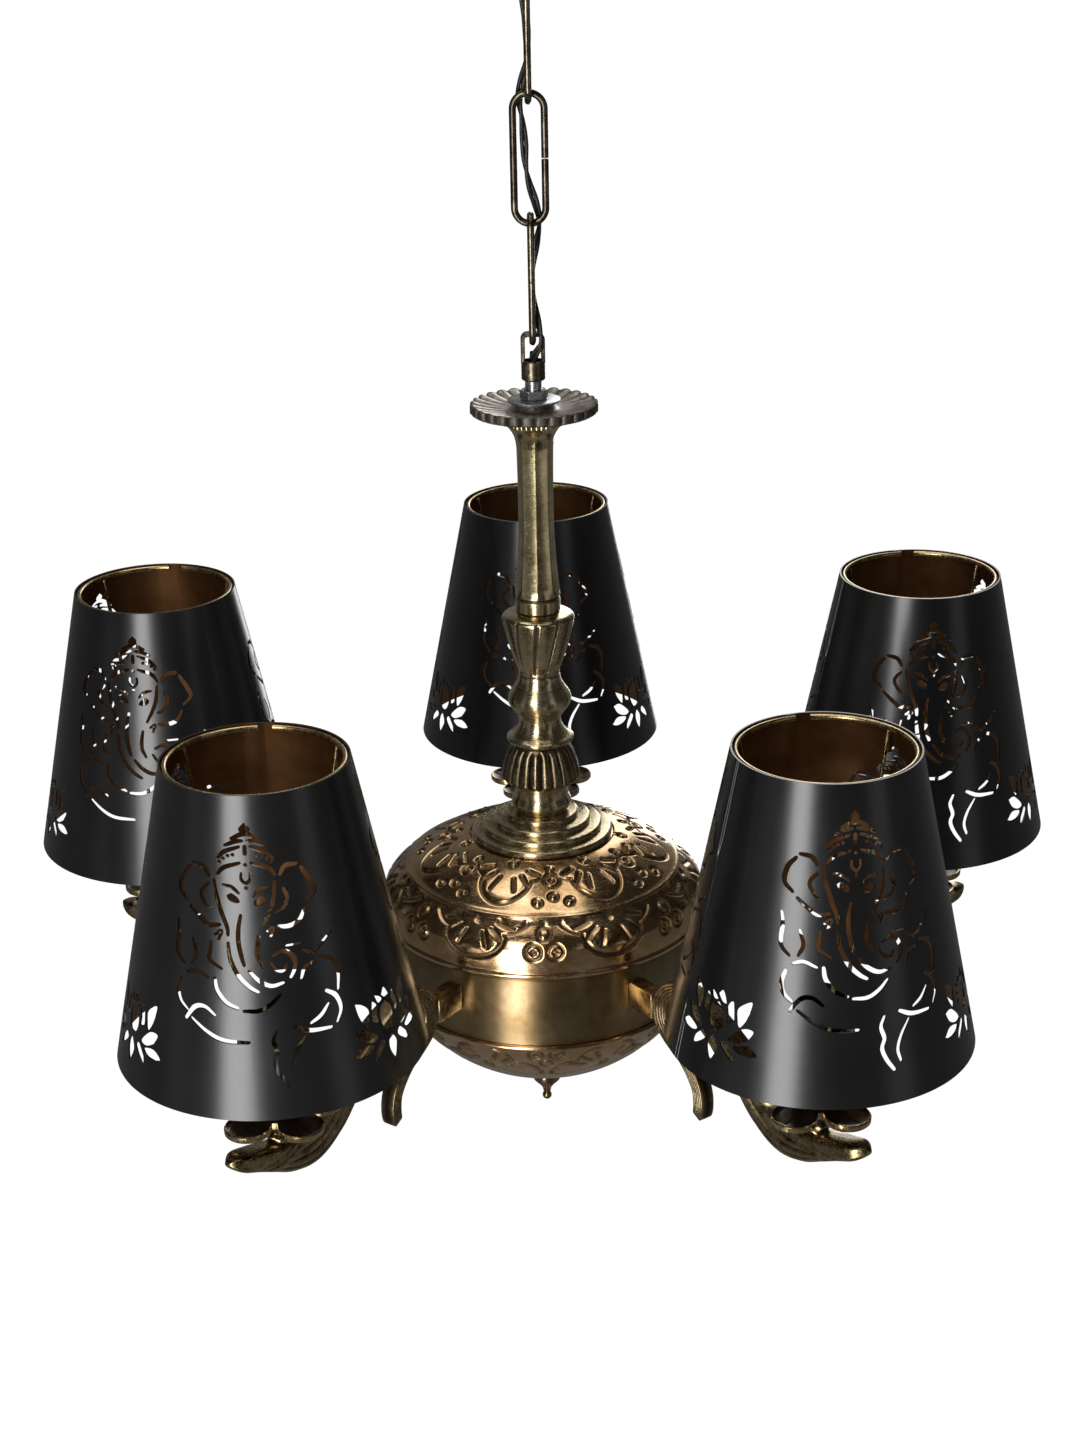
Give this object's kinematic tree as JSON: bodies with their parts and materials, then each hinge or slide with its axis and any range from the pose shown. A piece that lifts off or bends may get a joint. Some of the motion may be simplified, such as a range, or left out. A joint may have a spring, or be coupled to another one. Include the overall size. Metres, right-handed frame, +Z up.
{
  "type": "chandelier",
  "caption": "Brass chandelier hung by a long-link chain from a ceiling cup, with scrolled arms round a drum body and an upright conical shade of pierced black metal on each.",
  "frame": {"origin": "on the ceiling, at the middle of the top face of the bar that carries the fitting", "axes": "+Z up, into the ceiling; -Y towards the viewer of the front; +X to the right"},
  "size_m": [0.634, 0.6105, 0.7578],
  "materials": {
    "antique_brass": "polished, browned and lacquered",
    "dark_brass": "dark bronzed, satin",
    "cast_brass": "cast, bronzed with rubbed highlights",
    "zinc_plate": "bright zinc plated",
    "mild_steel": "plain drawn steel",
    "black_steel": "satin black powder coat",
    "bakelite": "dull black moulding",
    "lead_cover": "black flexible covering",
    "porcelain": "glazed off-white"
  },
  "bodies": {
    "ceiling_fitting": {"ceiling_bar": "mild_steel", "canopy": "antique_brass", "canopy_collar": "antique_brass", "ceiling_loop": "antique_brass", "ceiling_terminal": "porcelain", "lead_ceiling": "lead_cover"},
    "chain_link_1": {"chain_link_1": "antique_brass", "lead_link_1": "lead_cover"},
    "chain_link_2": {"chain_link_2": "dark_brass", "lead_link_2": "lead_cover"},
    "chain_link_3": {"chain_link_3": "antique_brass", "lead_link_3": "lead_cover"},
    "chandelier": {"hanger_stirrup": "dark_brass", "centre_rod": "mild_steel", "top_nut": "zinc_plate", "top_washer": "zinc_plate", "bobeche_dish": "cast_brass", "stem_column": "cast_brass", "stem_vase": "cast_brass", "stem_knop": "antique_brass", "gadroon_bell": "cast_brass", "stem_socket": "antique_brass", "stepped_plate": "antique_brass", "dome_cover": "antique_brass", "drum_band": "antique_brass", "bottom_bowl": "antique_brass", "lock_nut": "mild_steel", "drum_connector": "porcelain", "finial": "antique_brass", "lead_stem": "lead_cover", "arm_1": "cast_brass", "arm_screw_1": "mild_steel", "drip_cup_1": "dark_brass", "lampholder_1": "bakelite", "shade_carrier_1": "antique_brass", "shade_1": "black_steel", "arm_2": "cast_brass", "arm_screw_2": "mild_steel", "drip_cup_2": "dark_brass", "lampholder_2": "bakelite", "shade_carrier_2": "antique_brass", "shade_2": "black_steel", "arm_3": "cast_brass", "arm_screw_3": "mild_steel", "drip_cup_3": "dark_brass", "lampholder_3": "bakelite", "shade_carrier_3": "antique_brass", "shade_3": "black_steel", "arm_4": "cast_brass", "arm_screw_4": "mild_steel", "drip_cup_4": "dark_brass", "lampholder_4": "bakelite", "shade_carrier_4": "antique_brass", "shade_4": "black_steel", "arm_5": "cast_brass", "arm_screw_5": "mild_steel", "drip_cup_5": "dark_brass", "lampholder_5": "bakelite", "shade_carrier_5": "antique_brass", "shade_5": "black_steel"}
  },
  "joints": [
    {"name": "link_1_swing", "type": "hinge", "parent": "ceiling_fitting", "child": "chain_link_1", "pos_m": [0, 0, -0.0752], "axis": [1, 0, 0], "range_deg": [-40, 40], "deforming": ["lead_ceiling"]},
    {"name": "link_2_swing", "type": "hinge", "parent": "chain_link_1", "child": "chain_link_2", "pos_m": [0, 0, -0.1409], "axis": [0, 1, 0], "range_deg": [-40, 40], "deforming": ["lead_link_1"]},
    {"name": "link_3_swing", "type": "hinge", "parent": "chain_link_2", "child": "chain_link_3", "pos_m": [0, 0, -0.2066], "axis": [1, 0, 0], "range_deg": [-40, 40], "deforming": ["lead_link_2"]},
    {"name": "hanger_swing", "type": "hinge", "parent": "chain_link_3", "child": "chandelier", "pos_m": [0, 0, -0.2723], "axis": [0, 1, 0], "range_deg": [-30, 30], "deforming": ["lead_link_3"]}
  ]
}
